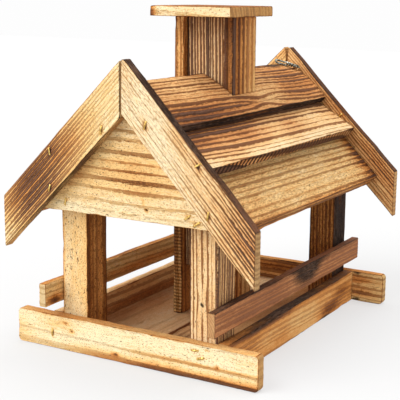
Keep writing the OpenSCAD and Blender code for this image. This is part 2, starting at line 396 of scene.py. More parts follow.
class Board:
    """A board with its grain along s, its width along w and its thickness along t, in millimetres.

    low and high give the ends of s for a width, and left and right the ends of w for a thickness, so that
    mitres, bevels and round corners are cut in the grid itself. Without them the board is square. bulge
    lifts the t sides of a cupped board for a share of the width. notch is an opening (s0, s1, w0) that is
    cut from s0 to s1 and from w0 to the board's upper edge. The piece is called after its node, unless
    name is given.

    All other values are those of USUAL_LOOK. In it, burn and saw give a strength for each of the six sides.
    The soft spots are (s, w, reach s, reach w, amount) in shares of the board, and lie on t+ unless a sixth
    value names another side or all. knots are (s, w, radius, darkness), and marks are dents (x, y, z, half
    length, half width, depth, darkness), whose darkness is painted shade in the dent.
    """

    def __init__(self, node, slot, seed, origin, s_axis, w_axis, t_axis, length, width, thick, **more):
        self.node, self.slot, self.seed = node, slot, seed
        self.name = more.pop("name", node.removesuffix("_board"))
        self.origin = np.array(origin, float)
        self.axes = np.array([s_axis, w_axis, t_axis], float)
        self.length, self.width, self.thick = length, width, thick
        square = {"low": 0.0, "high": length, "left": 0.0, "right": width, "bulge": 0.0}
        for key, value in square.items():
            setattr(self, key, more.pop(key, lambda v, value=value: 0.0 * v + value))
        self.notch = more.pop("notch", None)
        self.look = {**USUAL_LOOK, **more}

    def share_of(self, point):
        """The share coordinates of a place on the board."""
        s, w, t = self.axes @ (np.array(point, float) - self.origin)
        left, right = self.left(t), self.right(t)
        low, high = self.low(w), self.high(w)
        return (s - low) / (high - low) * self.length, (w - left) / (right - left) * self.width

    def lattice(self, spots):
        """Vertex places in the plain block, and the faces between them."""
        fine_s = list(self.notch[:2]) if self.notch else []
        fine_w = list(self.notch[2:3]) if self.notch else []
        for s, w, reach_s, reach_w in spots:
            for k in SPOT_LINES:
                fine_s.append(s + k * reach_s)
                fine_w.append(w + k * reach_w)
        s = lines(self.length, GRID_STEPS[0], fine_s)
        w = lines(self.width, GRID_STEPS[1], fine_w)
        t = lines(self.thick, GRID_STEPS[2])
        ns, nw, nt = len(s), len(w), len(t)
        solid = np.ones((ns - 1, nw - 1), bool)
        if self.notch:
            mid_s = (s[1:] + s[:-1]) / 2
            mid_w = (w[1:] + w[:-1]) / 2
            s0, s1, w0 = self.notch
            solid &= ~(((mid_s > s0) & (mid_s < s1))[:, None] & (mid_w > w0)[None, :])
        padded = np.zeros((ns + 1, nw + 1), bool)
        padded[1:-1, 1:-1] = solid
        corners = [padded[:-1, :-1], padded[1:, :-1], padded[:-1, 1:], padded[1:, 1:]]
        used = corners[0] | corners[1] | corners[2] | corners[3]
        rim = used & ~(corners[0] & corners[1] & corners[2] & corners[3])
        index = -np.ones((ns, nw, nt), int)
        places = []
        count = 0
        for k in range(nt):
            i, j = np.nonzero(used if k in (0, nt - 1) else rim)
            index[i, j, k] = count + np.arange(len(i))
            count += len(i)
            places.append(np.stack([i, j, np.full(len(i), k)], 1))
        places = np.concatenate(places)
        i, j = np.nonzero(solid)
        top = nt - 1
        above, below = index[:, :, top], index[:, :, 0]
        faces = [
            np.stack([above[i, j], above[i + 1, j], above[i + 1, j + 1], above[i, j + 1]], 1),
            np.stack([below[i, j], below[i, j + 1], below[i + 1, j + 1], below[i + 1, j]], 1),
        ]
        walls = (
            (padded[1:-1, 1:] & ~padded[1:-1, :-1], (0, 0), (1, 0)),
            (padded[1:-1, :-1] & ~padded[1:-1, 1:], (1, 0), (0, 0)),
            (padded[1:, 1:-1] & ~padded[:-1, 1:-1], (0, 1), (0, 0)),
            (padded[:-1, 1:-1] & ~padded[1:, 1:-1], (0, 0), (0, 1)),
        )
        for mask, first, second in walls:
            i, j = np.nonzero(mask)
            a, b = (i + first[0], j + first[1]), (i + second[0], j + second[1])
            for k in range(nt - 1):
                faces.append(np.stack([index[*a, k], index[*b, k], index[*b, k + 1], index[*a, k + 1]], 1))
        return np.stack([s[places[:, 0]], w[places[:, 1]], t[places[:, 2]]], 1), np.concatenate(faces)

    def cut(self, block):
        """Moves places of the plain block to the board's real outline."""
        t = block[:, 2]
        left, right = self.left(t), self.right(t)
        w = left + block[:, 1] / self.width * (right - left)
        low, high = self.low(w), self.high(w)
        s = low + block[:, 0] / self.length * (high - low)
        return np.stack([s, w, t], 1)

    def ring_at(self, s, w, t):
        """The growth ring count at a place in the board, bent round its knots."""
        look = self.look
        noise = Drift(self.seed)
        wave = look["wave"]
        bend = wave * noise(s / 80.0, w / 60.0 + 9.0) + 0.22 * wave * noise(s / 26.0, w / 25.0)
        across = w - look["pith"][0] * self.width + look["tilt"] * (s - self.length / 2) + bend
        deep = t - look["pith"][1] * self.thick + 0.6 * wave * noise(s / 90.0 + 5.0, 3.0)
        for ks, kw, size, _ in look["knots"]:
            ds, dw = s - ks, w - kw
            reach = np.exp(-(ds**2 / (5.0 * size) ** 2 + dw**2 / (2.2 * size) ** 2))
            across = across + np.sign(dw + 0.01) * size * 0.9 * reach
        count = np.hypot(across, deep) / look["spacing"]
        return count + 0.35 * noise(count * 0.8, 2.0)

    def wear(self, block, noise):
        """Rounds the block's edges, in some places more than in others.

        Gives the new places, which way the surface faces, and its share of an edge, from 0 on a flat side
        to 1.
        """
        s, w, t = block.T
        worn = self.look["worn"]
        radius = worn * (1.0 + 0.45 * noise(s / 9.0, w / 9.0, t / 9.0))
        chip = np.clip(noise(s / 13.0 + 40.0, w / 13.0, t / 11.0) - 0.5, 0, 1) * 3.0
        radius = np.clip(radius + chip * worn, LEAST_ROUND, self.thick * MOST_ROUND)
        ends = [(s, self.length - s), (w, self.width - w), (t, self.thick - t)]
        pull = np.stack([np.maximum(0, radius - b) - np.maximum(0, radius - a) for a, b in ends], 1)
        size = np.linalg.norm(pull, axis=1)
        normal = pull / np.maximum(size, 1e-9)[:, None]
        scale = np.minimum(1.0, radius / np.maximum(size, 1e-9))
        return block + pull * (scale - 1.0)[:, None], normal, smooth(size, radius * 1.02, radius * 1.38)

    def hollow(self, plain, worn, normal, ring, marks, noise):
        """How deep the brushed surface lies, how dark its knots are, how much shade is painted into its
        dents, and the halo round dents.
        """
        look = self.look
        s, w, _ = plain.T
        ls, lw, lt = self.cut(worn).T
        phase = ring - np.floor(ring)
        late = smooth(phase, 0.30, 0.80) * (1 - smooth(phase, 0.88, 1.0))
        along = np.abs(normal[:, 0])
        rough = 0.12 * np.abs(noise(ls / 5.0, lw / 1.5, lt / 1.5))
        rough = rough + 0.12 * np.abs(noise(ls / 30.0, lw / 20.0, lt / 20.0))
        inward = look["relief"] * (1.0 - late) * (1 - 0.6 * along) + rough + 0.04
        dent = np.zeros(len(s))
        halo = np.zeros(len(s))
        marked = facing(normal, look["face"])
        # A dent's darkness is painted shade in it; the halo spreads a fainter darkening round it.
        for ms, mw, reach_s, reach_w, depth, dark in marks:
            d = ((s - ms) / reach_s) ** 2 + ((w - mw) / reach_w) ** 2
            spot = np.exp(-(d**2)) * marked
            inward += depth * spot
            dent = np.maximum(dent, dark * spot)
            halo = np.maximum(halo, dark * marked * np.exp(-0.6 * d))
        for ks, kw, kr, dark in look["knots"]:
            dent = np.maximum(dent, np.exp(-(((s - ks) / kr) ** 2 + ((w - kw) / kr) ** 2)) * dark)
        return inward, dent, halo

    def tones(self, plain, place, normal, edge, dent, halo, noise):
        """How burnt, saw-marked and bold each place is, and how much char and painted shade it has."""
        look = self.look
        ls, lw, lt = place
        weight = {key: facing(normal, key) for key in SIDES}
        burn = sum(weight[key] * look["burn"].get(key, USUAL_BURN) for key in SIDES)
        saw = sum(weight[key] * look["saw"].get(key, 0.0) for key in SIDES)
        weight["all"] = 1.0
        if look["saw_end"]:
            saw = saw * (1 - smooth(ls, look["saw_end"], look["saw_end"] * SAW_FADE))
        uneven = look["drift"] * noise(ls / 45.0, lw / 30.0, lt / 8.0 + 3.0)
        burn = burn + look["edge"] * edge + 0.6 * halo + uneven
        # Worn edges are charred, and each dent gets painted shade.
        char = 0.75 * edge * look["edge"] + dent * 0.75
        bold = np.full(len(ls), look["bold"])
        u, v = plain[:, 0] / self.length, plain[:, 1] / self.width
        for tone, spots in ((burn, look["patches"]), (char, look["chars"]), (bold, look["bolder"])):
            for pu, pv, reach_u, reach_v, amount, *side in spots:
                gate = weight[side[0] if side else "t+"]
                tone += gate * amount * np.exp(-(((u - pu) / reach_u) ** 2) - ((v - pv) / reach_v) ** 2)
        return {"burn": burn, "tan": burn * look["early"], "char": char, "saw": saw, "bold": bold}

    def build(self):
        look = self.look
        noise = Drift(self.seed + 500)
        marks = [(*self.share_of(mark[:3]), *mark[3:]) for mark in look["marks"]]
        spots = [mark[:4] for mark in marks] + [(ks, kw, kr, kr) for ks, kw, kr, _ in look["knots"]]
        plain, faces = self.lattice(spots)
        worn, normal, edge = self.wear(plain, noise)
        ring = self.ring_at(*self.cut(worn).T)
        inward, dent, halo = self.hollow(plain, worn, normal, ring, marks, noise)
        brushed = worn - normal * inward[:, None]
        brushed[:, 1] -= look["sway"] * np.abs(noise(plain[:, 0] / 48.0, 77.0)) * plain[:, 1] / self.width
        ls, lw, lt = self.cut(brushed).T
        lt = lt + self.bulge(np.clip(lw / self.width, 0, 1.2))
        local = np.stack([ls, lw, lt], 1)

        values = self.tones(plain, (ls, lw, lt), normal, edge, dent, halo, noise)
        values.update({key: look[key] for key in ("fleck", "brush", "rose")})
        values.update(ring=ring, end=np.abs(normal[:, 0]) ** 4, cut=ls * 2 * math.pi / look["pitch"])
        if np.linalg.det(self.axes) < 0:
            faces = faces[:, ::-1]
        mesh = bpy.data.meshes.new(self.name)
        mesh.from_pydata(((self.origin + local @ self.axes) * MM).tolist(), [], faces.tolist())
        mesh.shade_smooth()
        for key, value in values.items():
            value = np.broadcast_to(value, len(plain)).astype(np.float32)
            mesh.attributes.new(key, "FLOAT", "POINT").data.foreach_set("value", value)
        own_grain = np.array([self.seed * 0.37, self.seed * 0.11, 0.0])
        place = (local * MM + own_grain).astype(np.float32).ravel()
        mesh.attributes.new("place", "FLOAT_VECTOR", "POINT").data.foreach_set("vector", place)
        mesh.materials.append(WOOD)
        piece = put(self.name, mesh)
        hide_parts(self.node)
        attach(piece, "root")


X, Y, Z = (1, 0, 0), (0, 1, 0), (0, 0, 1)
SKIRT_CORNER = 4.0  # radius of the skirts' corners
CHIMNEY_GAP = 0.6  # between the roof boards and the chimney
RIDGE_CUP = 2.8  # how far the cupped ridge boards bulge
GABLE_PEAK = 0.4  # half the width of a gable board's top
PEAK_WEAR = {"front_left": 0.3, "front_right": 3.6, "rear_left": 1.8, "rear_right": 1.8}
PEAK_SOFTNESS = {"front": 3.0, "rear": 26.0}


def minus(axis):
    """The same axis the other way round."""
    return tuple(-a for a in axis)


def size_of(node):
    """The lowest and highest corner of a node's box in millimetres."""
    low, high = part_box(node)
    return np.array(low) / MM, np.array(high) / MM


def round_ends(width, length, radius):
    """The low and high ends of a board whose corners are round."""

    def inset(w):
        d = np.clip(np.maximum(radius - w, radius - (width - w)), 0, radius)
        return radius - np.sqrt(np.maximum(radius**2 - d**2, 0))

    return {"low": inset, "high": lambda w: length - inset(w)}


def slope_board(node, slot, seed, side, **more):
    """A roof board, with its grain from front to rear, from the corners of its section.

    plumb cuts its upper edge upright. hole is the opening for the chimney: its front, its rear and half its
    width.
    """
    x, z = outline(node).T
    x = x * side
    foot = np.argmin(z)
    brow = np.argmax(x)
    pitch = math.atan2(x[brow] - x[foot], z[brow] - z[foot])
    thick = math.hypot(x[brow] - x[foot], z[brow] - z[foot])
    low, high = size_of(node)
    up = (-side * math.cos(pitch), 0, math.sin(pitch))
    out = (side * math.sin(pitch), 0, math.cos(pitch))
    width = (x[foot] - x.min()) / math.cos(pitch)
    if more.pop("plumb", False):
        more["right"] = lambda t: width + t * math.tan(pitch)
    notch = more.pop("hole", None)
    if notch:
        front, rear, half = notch
        edge = (x[foot] + thick * math.sin(pitch) - half) / math.cos(pitch)
        more["notch"] = (front - low[1], rear - low[1], edge)
    origin = (side * x[foot], low[1], z[foot])
    return Board(node, slot, seed, origin, Y, up, out, high[1] - low[1], width, thick, **more)


def flat(node, slot, seed, s_axis, w_axis, t_axis, **more):
    """A board whose sides are square to the axes."""
    low, high = size_of(node)
    axes = [np.array(axis, float) for axis in (s_axis, w_axis, t_axis)]
    origin = low.copy()
    for axis in axes:
        k = int(np.argmax(np.abs(axis)))
        if axis[k] < 0:
            origin[k] = high[k]
    sizes = [abs(np.dot(high - low, axis)) for axis in axes]
    return Board(node, slot, seed, origin, *axes, *sizes, **more)


def upright(node, slot, seed, w_axis, t_axis, fall=None, **more):
    """A board or post with its grain upright, and a top that may fall by so much for its width."""
    low, high = size_of(node)
    length = high[2] - low[2]
    if fall:
        more["high"] = lambda w: length - fall * w
    return flat(node, slot, seed, Z, w_axis, t_axis, **more)


def sides(front, rear=USUAL_BURN, ends=0.35, low=0.55, high=None):
    """How brown the sides of a board are: t+ is its front, t- its rear, and w- and w+ its two edges."""
    high = low if high is None else high
    return {"t+": front, "t-": rear, "s-": ends, "s+": ends, "w-": low, "w+": high}


def make_skirts(add):
    low, high = size_of("front_skirt_board")
    corners = round_ends(high[2] - low[2], high[0] - low[0], SKIRT_CORNER)
    front = low[1]
    add(flat(
        "front_skirt_board", "pale_wood", 11, X, Z, minus(Y),
        burn=sides(0.05, 0.5, 0.36, 0.6, 0.29), pith=(-0.6, 0.3), spacing=7.5, tilt=0.01, worn=1,
        fleck=0.75, brush=0.16, edge=0.52, wave=1.6, relief=0.18, bold=0.12,
        patches=[
            (0.85, 0, 0.55, 0.2, 0.74), (0.8, 0.42, 0.3, 0.05, 0.34), (0.3, 0.5, 0.6, 0.5, 0.2, "w+"),
            (0, 0.5, 0.05, 0.5, 0.1), (0.14, 0.75, 0.1, 0.2, 0.1), (0.38, 0.1, 0.16, 0.2, 0.12),
            (0.8, 0.75, 0.06, 0.2, 0.08),
        ],
        bolder=[(0.85, 0.1, 0.45, 0.3, 0.6)],
        chars=[(0.85, 0.04, 0.5, 0.13, 0.38)],
        marks=[
            (-75, front, 13, 0.9, 2.2, 0.6, 0.9), (-62, front, 23, 2.4, 1.1, 0.3, 0.55),
            (-56, front, 17, 1.7, 1.2, 0.5, 0.75), (-14, front, 6, 2.8, 1.3, 0.4, 0.75),
            (57, front, 23, 2, 0.8, 0.4, 0.5), (62, front, 17.5, 2.2, 0.8, 0.4, 0.5),
            (67, front, 25, 1.6, 0.6, 0.3, 0.5), (76, front, 13.5, 1.6, 1.4, 0.5, 0.6),
        ],
        **corners,
    ))
    add(flat(
        "rear_skirt_board", "pale_wood", 12, X, Z, Y, burn=sides(0.12, 0.2, 0.3, 0.5, 0.5),
        pith=(1.6, 0.3), spacing=5, worn=1, edge=0.62, bold=0.55,
        patches=[
            (0.9, 0.3, 0.06, 0.16, 0.28, "t-"), (0.9, 0.72, 0.05, 0.1, 0.2, "t-"),
            (0.5, 0.75, 0.34, 0.24, 0.5, "t-"), (0.5, 0.3, 0.3, 0.16, 0.4, "t-"),
        ],
        chars=[
            (0.7, 0.9, 0.14, 0.16, 0.6, "t-"), (0.66, 0.5, 0.1, 0.12, 0.5, "t-"),
            (0.92, 0.97, 0.09, 0.06, 0.5, "t-"), (0.92, 0.06, 0.09, 0.07, 0.6, "t-"),
            (0.885, 0.5, 0.012, 2, 0.5, "t-"), (0.93, 0.3, 0.03, 0.08, 0.45, "t-"),
        ],
        **corners,
    ))
    add(flat(
        "left_skirt_board", "flamed_wood", 13, Y, Z, minus(X),
        burn=sides(0.32, 0.26, 0.4, 0.5, 0.2), pith=(1.5, 0.4), spacing=7, bold=0.4, rose=0.3,
        patches=[(0.5, 0.42, 0.5, 0.13, 0.42, "t-")],
        chars=[(0.5, 0, 0.6, 0.12, 0.4, "t-")],
    ))
    add(flat(
        "right_skirt_board", "flamed_wood", 14, Y, Z, X, burn=sides(0.37, 0.5, 0.35, 0.5, 0.6),
        pith=(-0.5, 1.6), spacing=4.4, fleck=0.15, brush=0.1, relief=0.15, bold=0.28,
        patches=[
            (0.78, 0.2, 0.09, 0.25, 0.5), (0.35, 1, 0.5, 0.14, 0.4), (0.9, 0.6, 0.08, 0.2, 0.3),
            (0.1, 0.4, 0.12, 0.6, 0.12),
        ],
        chars=[
            (0.25, 1, 0.3, 0.14, 0.8), (0.5, 0.9, 0.6, 0.3, 0.9, "w+"), (0.74, 0, 0.04, 0.1, 0.8, "all"),
            (0.82, 0.16, 0.07, 0.1, 0.5), (0.7, 0.38, 0.05, 0.08, 0.45), (0.99, 0.5, 0.012, 2, 0.4),
            (0.6, 0, 0.4, 0.06, 0.5),
        ],
    ))


def make_floor_boards(add):
    add(flat(
        "left_floor_board", "charred_wood", 15, Y, minus(X), Z, burn=sides(0.19, 0.5, 0.4, 0.6),
        rose=0.6, spacing=4, fleck=0.2, relief=0.12, bold=0.14, wave=0.7,
        chars=[(0.42, 0.32, 0.012, 0.03, 1.4)],
    ))
    add(flat(
        "right_floor_board", "charred_wood", 16, Y, X, Z, burn=sides(0.39, 0.5, 0.4, 0.6),
        rose=0.4, spacing=4, fleck=0.2, bold=0.4,
        chars=[(0.08, 0.25, 0.25, 0.6, 0.7), (0.5, 0.95, 0.6, 0.2, 0.4)],
    ))


def make_posts(add):
    looks = {
        "front_left_post": dict(
            burn=sides(0.15, 0.6, 0.4, 0.62, 0.3), pith=(0.4, 3.5), spacing=6, fleck=1, drift=0.14,
            bold=0.3, patches=[(0.5, 1, 0.7, 0.08, 0.4), (0.5, 0, 0.7, 0.05, 0.2)],
        ),
        "front_right_post": dict(
            burn=sides(0.43, 0.6, 0.4, 0.6, 0.52), rose=0.35, early=0.42, pith=(2.2, 2.6), spacing=2.7,
            fleck=0.5, wave=0.35, knots=[(50, 10.8, 1.9, 1.5)], patches=[(0.5, 0.5, 2, 2, 0.22, "w+")],
        ),
        "rear_left_post": dict(
            burn=sides(0.25, 0.55, 0.4, 0.55, 0.4), pith=(2, 0.5), spacing=4, bold=0.7,
        ),
        "rear_right_post": dict(
            burn=sides(0.4, 0.48, 0.4, 0.6, 0.9), pith=(2, 0.5), spacing=3.2, bold=0.7, fleck=0.9,
            brush=0.8, chars=[(0.5, 0.9, 0.9, 2.6, 0.7, "w+")],
        ),
    }
    for side, word in LEFT_RIGHT:
        for way, end in FRONT_REAR:
            node = f"{end}_{word}_post"
            low, high = size_of(node)
            x, z = outline(node).T
            outer = x * side > (x * side).max() - 0.1
            fall = (z.max() - z[outer].max()) / (high[0] - low[0])
            slot = "pale_wood" if way < 0 else "flamed_wood"
            seed = 20 + side + 3 * way
            name = f"{node}_wood"
            add(upright(node, slot, seed, (side, 0, 0), (0, way, 0), fall, name=name, **looks[node]))


def make_rails(add):
    add(flat(
        "left_rail", "flamed_wood", 29, Y, Z, minus(X), name="left_rail_wood",
        burn=sides(0.24, 0.22, 0.08, 0.6, 0.45), pith=(1.4, 0.5), bold=0.32,
        patches=[(0.5, 0.3, 0.6, 0.2, 0.3, "t-"), (0.04, 0.2, 0.02, 0.2, 0.5, "t-")],
        chars=[(0.05, 0.15, 0.03, 0.2, 0.6, "t-"), (0.01, 0.5, 0.008, 0.6, 0.3, "t-")],
    ))
    add(flat(
        "right_rail", "flamed_wood", 31, Y, Z, X, name="right_rail_wood",
        burn=sides(0.6, 0.5, 0.4, 0.6, 0.8), rose=0.62, pith=(-0.4, -3), spacing=1.8, relief=0.12,
        wave=0.4, fleck=0.15, drift=0.06, bold=0.36,
        chars=[
            (0.58, 0.7, 0.11, 0.6, 0.74), (0.8, 0.95, 0.3, 0.25, 0.3), (0.5, 0.5, 2, 2, 0.17),
            (0.4, 0.5, 0.7, 2, 0.5, "w+"), (0.12, 0.5, 0.22, 2, 0.34, "w+"), (0.3, 1, 0.4, 0.12, 0.3),
        ],
    ))


def gable_ends(half, ease_x, ease_z, height):
    """The low and high ends of a gable board: its slopes ease near the foot and meet in a worn peak."""

    def reach(w):
        return np.interp(w, [0, ease_z, height], [half, ease_x, GABLE_PEAK])

    return {"low": lambda w: -reach(w), "high": reach}


def make_gables(add):
    for way, end in FRONT_REAR:
        node = f"{end}_gable_board"
        x, z = outline(node).T
        low, high = size_of(node)
        half = x.max()
        height = z.max() - z.min()
        ease_x = sorted(set(np.round(np.abs(x), 1)))[1]
        ease_z = z[np.argmin(np.abs(np.abs(x) - ease_x))] - z.min()
        outer, inner = (low[1], high[1]) if way < 0 else (high[1], low[1])
        marks = [
            (-57.5, outer, 122.7, 0.8, 2, 0.4, 0.6), (52, outer, 123.4, 1.8, 1.4, 0.4, 0.5),
            (59.5, outer, 119, 1.8, 1.4, 0.4, 0.5), (16.3, outer, 124.3, 1.3, 1.1, 1.6, 1),
            (13.6, outer, 130, 1, 2.4, 0.3, 0.45),
        ]
        add(Board(
            node, "pale_wood", 40 + way, (0, inner, low[2]), X, Z, (0, way, 0),
            2 * half, height, high[1] - low[1], burn=sides(0.15, 0.4, 0.8, 0.4), pith=(-0.5, -2),
            spacing=7, wave=2, fleck=0.6, brush=0.42, drift=0.05, edge=0.58, bold=0.6, early=0.75,
            patches=[
                (0.5, 0, 0.9, 0.2, -0.14), (0.5, 0.46, 0.55, 0.34, 0.19), (0, 0.5, 0.1, 0.9, 0.25),
                (1, 0.5, 0.05, 0.9, 0.15),
            ],
            # the dark band along the left slope is partly char and partly a painted shadow of the
            # bargeboard
            chars=[(0, 0.6, 0.07, 0.8, 0.55)],
            bolder=[(0.5, 0, 0.9, 0.26, -0.45), (0.6, 0.42, 0.34, 0.22, 0.5), (0, 0.5, 0.22, 0.9, -0.4)],
            marks=marks if way < 0 else (),
            **gable_ends(half, ease_x, ease_z, height),
        ))


def mitre(pitch, crest, soft):
    """The upper end of a bargeboard: a plumb cut that meets its level, worn crest in a soft corner."""

    def end(w):
        plumb, level = -w * math.tan(pitch), (w * math.cos(pitch) - crest) / math.sin(pitch)
        return (plumb + level + np.sqrt((plumb - level) ** 2 + soft)) / 2

    return end


def make_bargeboards(add):
    looks = {
        "front_left": dict(
            burn=sides(0.22, 0.5, 0.35, 0.8, 0.6), bold=0.2, sway=0.6, early=0.44,
            patches=[
                (0.64, 0.45, 0.36, 0.9, 0.74), (0.85, 0.8, 0.25, 0.5, 0.46), (1, 0.2, 0.12, 0.5, -0.12),
            ],
            bolder=[(0.7, 0.5, 0.38, 0.9, 0.85)],
            chars=[
                (0.45, 0.5, 0.35, 2, 0.28, "w-"), (0.5, 0.5, 2, 2, 0.52, "w-"), (0, 0.5, 0.012, 9, 0.85),
                (0.45, 0, 0.55, 0.06, 0.45),
            ],
            marks=[
                (-65, 0, 162, 1.8, 2, 0.5, 0.9), (-17, 0, 182.4, 2, 2, 0.5, 0.9),
                (-65.5, 0, 134, 2, 1.8, 0.5, 0.9),
            ],
        ),
        "front_right": dict(
            burn=sides(0.15, 0.5, 0.44, 0.5, 1), rose=0.3, bold=0.5, sway=0.9, brush=0.6, fleck=0.15,
            early=0.62,
            patches=[(0.98, 0.7, 0.32, 0.6, 0.46), (0.42, 0.9, 0.1, 0.25, 0.25)],
            bolder=[(0.98, 0.6, 0.4, 0.8, 0.5)],
            chars=[(0.3, 0.5, 0.9, 3, 0.86, "w+"), (0, 0.5, 0.01, 9, 0.6)],
            marks=[
                (21.3, 0, 188.5, 2.2, 1.8, 0.5, 0.9), (65.3, 0, 163.5, 2.2, 1.7, 0.5, 0.9),
                (74, 0, 128.5, 1.9, 1.8, 0.5, 0.9),
            ],
        ),
        "rear_left": dict(burn=sides(0.3, 0.28, 0.35, 0.55, 0.6), bold=0.5),
        "rear_right": dict(
            burn=sides(0.2, 0.24, 0.4, 0.4, 0.8), rose=0.2, face="t-", bold=0.45, sway=0.8,
            patches=[(0.85, 0.75, 0.3, 0.35, 0.3, "t-"), (0.25, 0.6, 0.3, 0.3, 0.12, "t-")],
            bolder=[(0.85, 0.7, 0.35, 0.4, 0.5, "t-")],
            chars=[(0.5, 0.5, 2, 3, 0.6, "w+"), (0.5, 1, 0.9, 0.07, 0.5, "t-")],
            marks=[(56.1, 0, 170.8, 1.4, 1.2, 0.4, 0.3)],
        ),
    }
    for side, word in LEFT_RIGHT:
        for way, end in FRONT_REAR:
            which = f"{end}_{word}"
            node = f"{which}_bargeboard"
            x, z = outline(node).T
            x = x * side
            seam = x < x.mean()
            peak, seam_foot, brow = z[seam].max(), z[seam].min(), z[~seam].max()
            x0, x1 = x.min(), x.max()
            pitch = math.atan2(peak - brow, x1 - x0)
            run = (x1 - x0) / math.cos(pitch)
            wide = (peak - seam_foot) * math.cos(pitch)
            low, high = size_of(node)
            crest = peak - seam_foot - PEAK_WEAR[which]
            add(Board(
                node, "pale_wood", 50 + side + 3 * way,
                (side * x0, low[1] if way > 0 else high[1], seam_foot),
                (side * math.cos(pitch), 0, -math.sin(pitch)), (side * math.sin(pitch), 0, math.cos(pitch)),
                (0, way, 0), run, wide, high[1] - low[1],
                low=mitre(pitch, crest, PEAK_SOFTNESS[end]),
                high=lambda w, slant=math.tan(pitch), run=run: run - w * slant,
                name=f"{which}_barge", spacing=2.6, pith=(1.6, 0.4), worn=1, wave=0.7, **looks[which],
            ))


def make_roof(add):
    low, high = size_of("chimney_right_board")
    opening = (low[1] - CHIMNEY_GAP, high[1] + CHIMNEY_GAP, high[0] + CHIMNEY_GAP)
    for side, word in LEFT_RIGHT:
        add(slope_board(
            f"{word}_eave_board", "flamed_wood", 60 + side, side,
            burn=sides(0.27, 0.5, 0.5, 0.55, 0.4), spacing=4.6, pith=(-0.6, -1.2), wave=0.6, fleck=0.7,
            relief=0.55, bold=0.6, brush=0.8, early=0.85,
            patches=[(1, 0.3, 0.06, 0.9, 0.5), (0.5, 0, 0.9, 0.06, 0.3)],
            bolder=[(1, 0.3, 0.2, 0.9, 0.4)],
        ))
        add(slope_board(
            f"{word}_middle_board", "flamed_wood", 64 + side, side, plumb=True,
            hole=opening, burn=sides(0.26, 0.5, 0.5, 0.56, 0.4), rose=0.3, spacing=5.4, pith=(-0.5, -1.2),
            wave=2, saw={"w-": 1}, pitch=6.4, relief=0.4, tilt=0.03, bold=0.9, early=0.8,
            patches=[
                (0, 0.5, 0.6, 0.32, 0.58), (0.5, 0.05, 0.6, 0.08, -0.2), (0, 0.5, 0.2, 9, 0.1, "w-"),
                (0.9, 0.75, 0.16, 0.3, 0.28),
            ],
            chars=[(1, 0, 0.35, 2, 0.38, "w-")],
        ))
        add(slope_board(
            f"{word}_ridge_board", "flamed_wood", 68 + side, side, plumb=True,
            hole=opening, rose=0.25, burn=sides(0.32, 0.5, 0.5, 0.72, 0.5), spacing=3.6, pith=(-0.4, -1.6),
            wave=2.2, brush=0.6, relief=0.45, bold=0.85, bulge=lambda v: 4 * RIDGE_CUP * v * (1 - v),
            patches=[
                (0.05, 0.14, 0.5, 0.2, 0.46), (0.62, 0.25, 0.1, 0.2, -0.2), (0.85, 0.4, 0.2, 0.4, 0.16),
            ],
            chars=[
                (0.5, 0.5, 3, 3, 0.56, "w-"), (0.1, 0.5, 0.35, 3, 0.45, "w-"),
                (0.95, 0.5, 0.28, 3, 0.45, "w-"), (0.8, 0.15, 0.3, 0.1, 0.15),
                # the last soft spot is a painted shadow under the rear wire loop
                (0.88, 0.95, 0.08, 0.1, 0.7),
            ],
            knots=[(150, 9, 4.5, 0)],
        ))


def make_chimney(add):
    front = size_of("chimney_front_board")[0][1]
    add(upright(
        "chimney_left_board", "flamed_wood", 71, Y, minus(X),
        burn=sides(0.45, 0.5, 0.3, 0.36), spacing=5, pith=(0.5, -2), saw={"w-": 0.6}, saw_end=95,
        pitch=2.9, fleck=1, bold=0.6,
        chars=[(0.85, 0, 0.45, 0.5, 0.34, "w-")],
    ))
    add(upright(
        "chimney_right_board", "flamed_wood", 73, Y, X, burn=sides(0.4, 0.5, 0.3, 0.78),
        spacing=7, pith=(-0.4, -1), wave=1, bold=0.6, edge=0.4, early=0.85,
        patches=[(0.8, 0.15, 1.2, 0.32, 0.42)],
        bolder=[(0.8, 0.15, 2, 0.35, 0.4), (0.6, 0.72, 2, 0.22, -0.25)],
        chars=[(0.8, 0, 0.6, 0.08, 0.4), (0.7, 0.5, 0.9, 2, 0.56, "w-")],
    ))
    for way, word in FRONT_REAR:
        add(upright(
            f"chimney_{word}_board", "charred_wood", 76 + way, X, (0, way, 0),
            burn=sides(0.78, 0.6, 0.3, 0.6), rose=0.5, early=0.3, spacing=2.8, pith=(2.5, 0.5), wave=0.4,
            fleck=0.2, relief=0.4,
            chars=[(0.8, 0, 0.8, 0.09, 0.85)],
            marks=[(17.5, front, 241, 3.2, 1.2, 0.5, 0.9)] if way < 0 else (),
        ))
    add(flat(
        "chimney_cap", "pale_wood", 80, X, Y, Z, name="cap", burn=sides(0.55, 0.4, 0.4, 0.05),
        spacing=5, pith=(-0.6, -2), fleck=0.5, edge=0.58, bold=0.4,
        patches=[(0, 0, 0.06, 0.3, 0.45, "w-"), (0.02, 0, 0.05, 0.3, 0.25, "all")],
    ))


# ---------------------------------------------------------------------------
# Staples and wire loops
# ---------------------------------------------------------------------------

STRAND_STEPS, EYE_STEPS, STRAND_CORNERS = 70, 14, 10
STRAND_THICK = 0.96  # thickness of a strand, in thicknesses of the wire
STRAND_CLOSE = 0.54  # half the distance of twisted strands, in thicknesses of the wire
HALF_TWISTS = 5
TWIST_FROM = 0.4  # where along the loop the twist begins, as a share of its length
GRIP = (0.34, 0.58)  # between these shares the strands close in
EYE_LEAN = {"front": 0, "rear": 22}  # degrees
EYE_LIFT = 0.35  # how much a leaning eye lifts the strands


